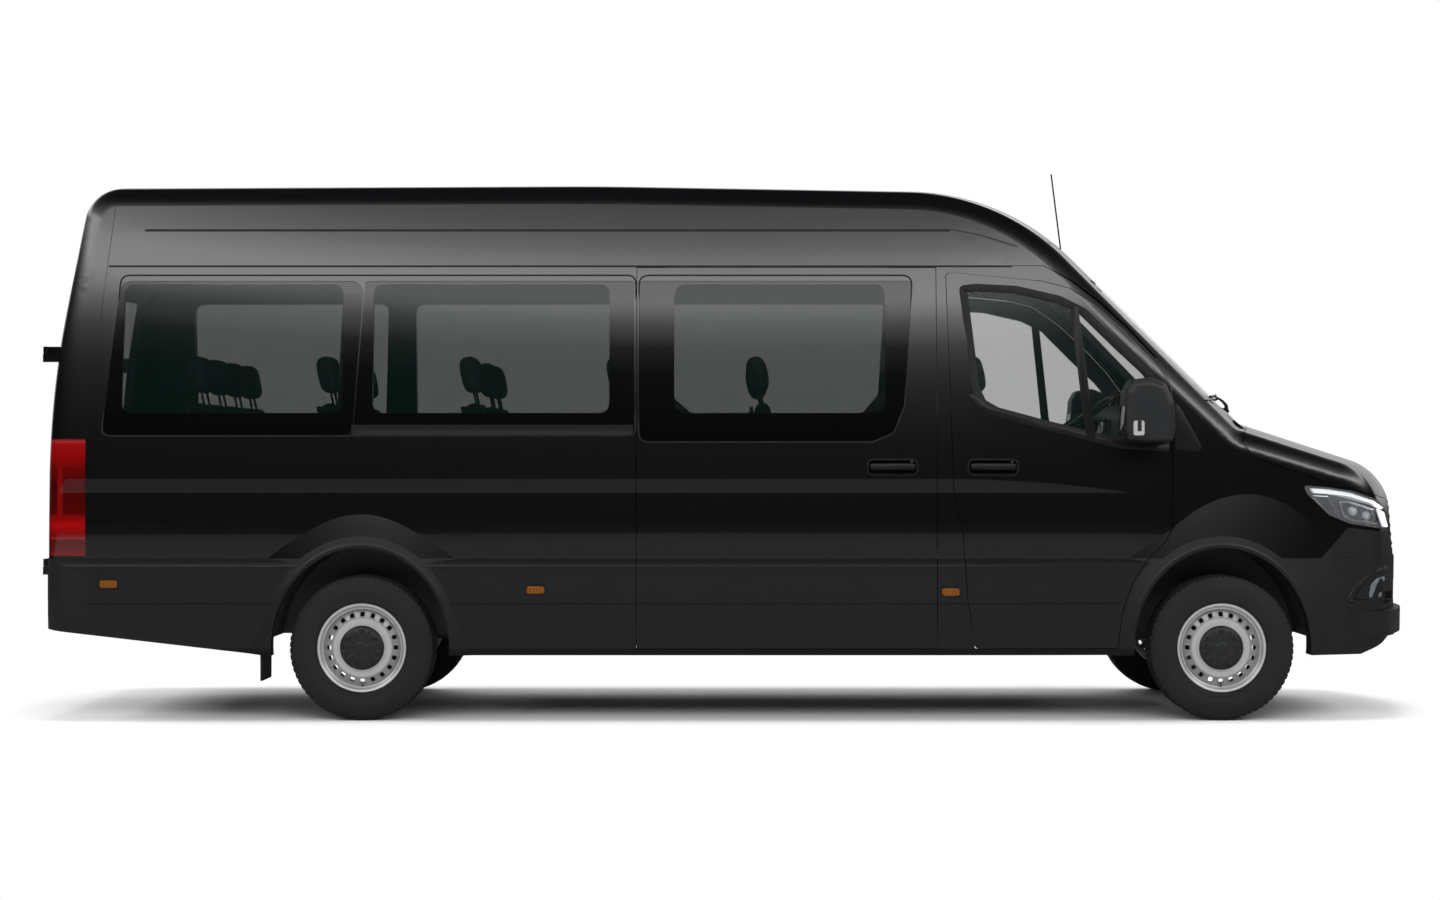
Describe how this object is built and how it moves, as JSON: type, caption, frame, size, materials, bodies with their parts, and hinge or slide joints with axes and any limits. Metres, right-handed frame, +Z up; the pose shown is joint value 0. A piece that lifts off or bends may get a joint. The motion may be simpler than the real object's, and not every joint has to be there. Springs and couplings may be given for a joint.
{
  "type": "passenger minibus",
  "caption": "High-roof passenger minibus with hinged front and rear doors, opening bonnet, steered front wheels and a furnished cabin.",
  "frame": {"origin": "on the ground below the middle of the length, on the centre line", "axes": "+X forward, +Y left, +Z up"},
  "size_m": [7.0361, 2.43, 2.8155],
  "materials": {
    "tyre": "matt rubber",
    "rim_steel": "silver paint",
    "tinted_glass": "dark tint",
    "clear_glass": "light tint",
    "lamp_lens": "clear",
    "lamp_housing": "bright inner",
    "red_lens": "red lens",
    "grey_plastic": "satin",
    "black_plastic": "satin",
    "seat_cloth": "woven",
    "dark_steel": "satin",
    "body_paint": "gloss black"
  },
  "bodies": {
    "body": {"antenna": "black_plastic", "bulkhead": "dark_steel", "cab_frame": "body_paint", "chassis": "dark_steel", "dashboard": "black_plastic", "door_frames": "body_paint", "driveline": "dark_steel", "engine": "dark_steel", "floor": "dark_steel", "front_bumper": "grey_plastic", "front_suspension": "dark_steel", "grille": "grey_plastic", "headlamps": "lamp_lens", "lamp_housings": "lamp_housing", "mud_flaps": "grey_plastic", "nose_panel": "grey_plastic", "rear_axle": "dark_steel", "rear_bumper": "grey_plastic", "roof": "body_paint", "seat_frames": "dark_steel", "seat_pads_cab": "seat_cloth", "seat_pads_left": "seat_cloth", "seat_pads_right": "seat_cloth", "side_glass": "tinted_glass", "side_panel_left": "body_paint", "side_panel_right": "body_paint", "sliding_door": "body_paint", "tail_lamps": "red_lens", "wheel_housings": "dark_steel", "windscreen": "clear_glass", "wings": "body_paint"},
    "front_door_right": {"front_door_right": "body_paint", "door_glass_right": "clear_glass", "mirror_right": "black_plastic"},
    "rear_door_right": {"rear_door_right": "body_paint", "rear_glass_right": "tinted_glass"},
    "knuckle_right": {"knuckle_right": "dark_steel"},
    "wheel_front_right": {"tyre_front_right": "tyre", "rim_front_right": "rim_steel"},
    "wheel_rear_right": {"tyre_rear_right": "tyre", "rim_rear_right": "rim_steel"},
    "front_door_left": {"front_door_left": "body_paint", "door_glass_left": "clear_glass", "mirror_left": "black_plastic"},
    "rear_door_left": {"rear_door_left": "body_paint", "rear_glass_left": "tinted_glass"},
    "knuckle_left": {"knuckle_left": "dark_steel"},
    "wheel_front_left": {"tyre_front_left": "tyre", "rim_front_left": "rim_steel"},
    "wheel_rear_left": {"tyre_rear_left": "tyre", "rim_rear_left": "rim_steel"},
    "bonnet": {"bonnet": "body_paint"},
    "steering_wheel": {"steering_wheel": "black_plastic"}
  },
  "joints": [
    {"name": "front_door_right_hinge", "type": "hinge", "parent": "body", "child": "front_door_right", "pos_m": [2.2045, -0.968, 1], "axis": [0, 0, 1], "range_deg": [0, 68]},
    {"name": "rear_door_right_hinge", "type": "hinge", "parent": "body", "child": "rear_door_right", "pos_m": [-3.495, -0.828, 1.2], "axis": [0, 0, 1], "range_deg": [0, 180]},
    {"name": "rear_wheel_right_spin", "type": "hinge", "parent": "body", "child": "wheel_rear_right", "pos_m": [-1.877, -0.858, 0.365], "axis": [0, 1, 0], "continuous": true},
    {"name": "steer_right", "type": "hinge", "parent": "body", "child": "knuckle_right", "pos_m": [2.448, -0.8, 0.365], "axis": [0, 0, 1], "range_deg": [-35, 35]},
    {"name": "front_wheel_right_spin", "type": "hinge", "parent": "knuckle_right", "child": "wheel_front_right", "pos_m": [2.448, -0.858, 0.365], "axis": [0, 1, 0], "continuous": true},
    {"name": "front_door_left_hinge", "type": "hinge", "parent": "body", "child": "front_door_left", "pos_m": [2.2045, 0.968, 1], "axis": [0, 0, -1], "range_deg": [0, 68]},
    {"name": "rear_door_left_hinge", "type": "hinge", "parent": "body", "child": "rear_door_left", "pos_m": [-3.495, 0.828, 1.2], "axis": [0, 0, -1], "range_deg": [0, 180]},
    {"name": "rear_wheel_left_spin", "type": "hinge", "parent": "body", "child": "wheel_rear_left", "pos_m": [-1.877, 0.858, 0.365], "axis": [0, 1, 0], "continuous": true},
    {"name": "steer_left", "type": "hinge", "parent": "body", "child": "knuckle_left", "pos_m": [2.448, 0.8, 0.365], "axis": [0, 0, 1], "range_deg": [-35, 35]},
    {"name": "front_wheel_left_spin", "type": "hinge", "parent": "knuckle_left", "child": "wheel_front_left", "pos_m": [2.448, 0.858, 0.365], "axis": [0, 1, 0], "continuous": true},
    {"name": "bonnet_hinge", "type": "hinge", "parent": "body", "child": "bonnet", "pos_m": [2.545, 0, 1.5], "axis": [0, -1, 0], "range_deg": [0, 50]},
    {"name": "steering_wheel_turn", "type": "hinge", "parent": "body", "child": "steering_wheel", "pos_m": [1.915, 0.42, 1.545], "axis": [-0.548, 0, 0.8365], "range_deg": [-490, 490]}
  ],
  "couplings": [
    {"joint": "steer_right", "follows": "steer_left", "ratio": 1},
    {"joint": "steering_wheel_turn", "follows": "steer_left", "ratio": 14}
  ]
}
